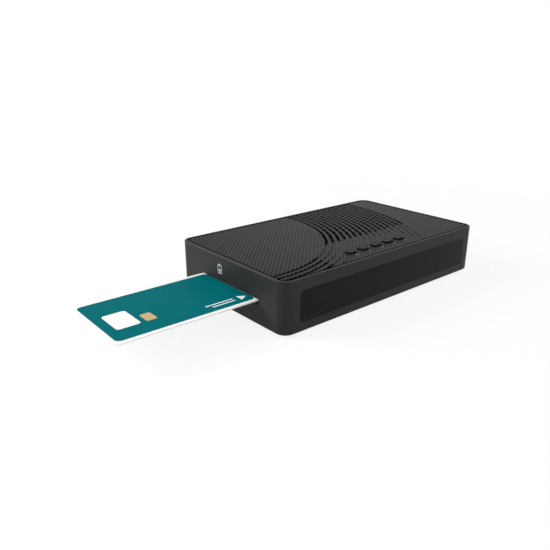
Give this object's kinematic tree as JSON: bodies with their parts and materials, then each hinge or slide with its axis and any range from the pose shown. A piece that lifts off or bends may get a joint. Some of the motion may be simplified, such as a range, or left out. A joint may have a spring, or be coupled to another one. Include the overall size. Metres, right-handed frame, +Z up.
{
  "type": "satellite television receiver",
  "caption": "Flat satellite receiver with a ribbed, vented top, press keys, a dark front window and a card in its side slot.",
  "frame": {"origin": "centre of the case's footprint on the table, level with the undersides of the feet", "axes": "+X to the right as seen from the front, +Y to the back, +Z up"},
  "size_m": [0.2526, 0.1094, 0.0327],
  "materials": {
    "case": "satin moulded plastic, near black",
    "plate": "fine diagonal ribs, near black",
    "window": "dark glossy acrylic",
    "key": "fine diagonal ribs, near black",
    "cover": "textured moulded plastic",
    "rubber": "matt rubber",
    "steel": "zinc-plated steel",
    "panel": "black powder-coated sheet",
    "board": "green solder mask",
    "chip": "moulded epoxy",
    "sink": "anodised",
    "can": "tinned steel",
    "connector": "nickel-plated brass",
    "insulator": "white dielectric",
    "gold": "gold plating",
    "socket": "black moulded plastic",
    "capacitor": "sleeved can",
    "card": "laminated printed card",
    "lens": "tinted lens",
    "plunger": "moulded nylon"
  },
  "bodies": {
    "receiver": {"case_body": "case", "top_plate": "plate", "front_window": "window", "base_cover": "cover", "key_switches": "socket", "key_board": "board", "key_board_screws": "steel", "foot_front_left": "rubber", "foot_front_right": "rubber", "foot_back_left": "rubber", "foot_back_right": "rubber", "case_screws": "steel", "main_board": "board", "board_screws": "steel", "tuner_can": "can", "lnb_connector": "connector", "lnb_insulator": "insulator", "lnb_nut": "connector", "ethernet_socket": "socket", "ethernet_contacts": "gold", "hdmi_socket": "steel", "usb_socket": "steel", "digital_audio_jack": "socket", "av_jack": "socket", "dc_jack": "socket", "dc_jack_pin": "connector", "rear_panel": "panel", "card_reader_frame": "socket", "card_reader_contacts": "gold", "card_detect_switch": "socket", "processor": "chip", "heat_sink": "sink", "memory_chips": "chip", "flash_chip": "chip", "capacitors": "capacitor", "inductors": "chip", "front_board": "board", "display_module": "socket", "ir_receiver": "lens", "standby_led": "lens", "board_header": "socket", "key_header": "socket"},
    "standby_key": {"key_standby": "key", "plunger_standby": "plunger"},
    "volume_down_key": {"key_volume_down": "key", "plunger_volume_down": "plunger"},
    "volume_up_key": {"key_volume_up": "key", "plunger_volume_up": "plunger"},
    "channel_down_key": {"key_channel_down": "key", "plunger_channel_down": "plunger"},
    "channel_up_key": {"key_channel_up": "key", "plunger_channel_up": "plunger"},
    "card": {"smart_card": "card", "card_contacts": "gold"}
  },
  "joints": [
    {"name": "standby_press", "type": "slide", "parent": "receiver", "child": "standby_key", "axis": [0, 0, -1], "range_m": [0, 0.0005], "stiffness_N_per_m": 1500, "springref_m": -0.0004},
    {"name": "volume_down_press", "type": "slide", "parent": "receiver", "child": "volume_down_key", "axis": [0, 0, -1], "range_m": [0, 0.0005], "stiffness_N_per_m": 1500, "springref_m": -0.0004},
    {"name": "volume_up_press", "type": "slide", "parent": "receiver", "child": "volume_up_key", "axis": [0, 0, -1], "range_m": [0, 0.0005], "stiffness_N_per_m": 1500, "springref_m": -0.0004},
    {"name": "channel_down_press", "type": "slide", "parent": "receiver", "child": "channel_down_key", "axis": [0, 0, -1], "range_m": [0, 0.0005], "stiffness_N_per_m": 1500, "springref_m": -0.0004},
    {"name": "channel_up_press", "type": "slide", "parent": "receiver", "child": "channel_up_key", "axis": [0, 0, -1], "range_m": [0, 0.0005], "stiffness_N_per_m": 1500, "springref_m": -0.0004},
    {"name": "card_slide", "type": "slide", "parent": "receiver", "child": "card", "axis": [1, 0, 0], "range_m": [-0.0083, 0.05]}
  ]
}
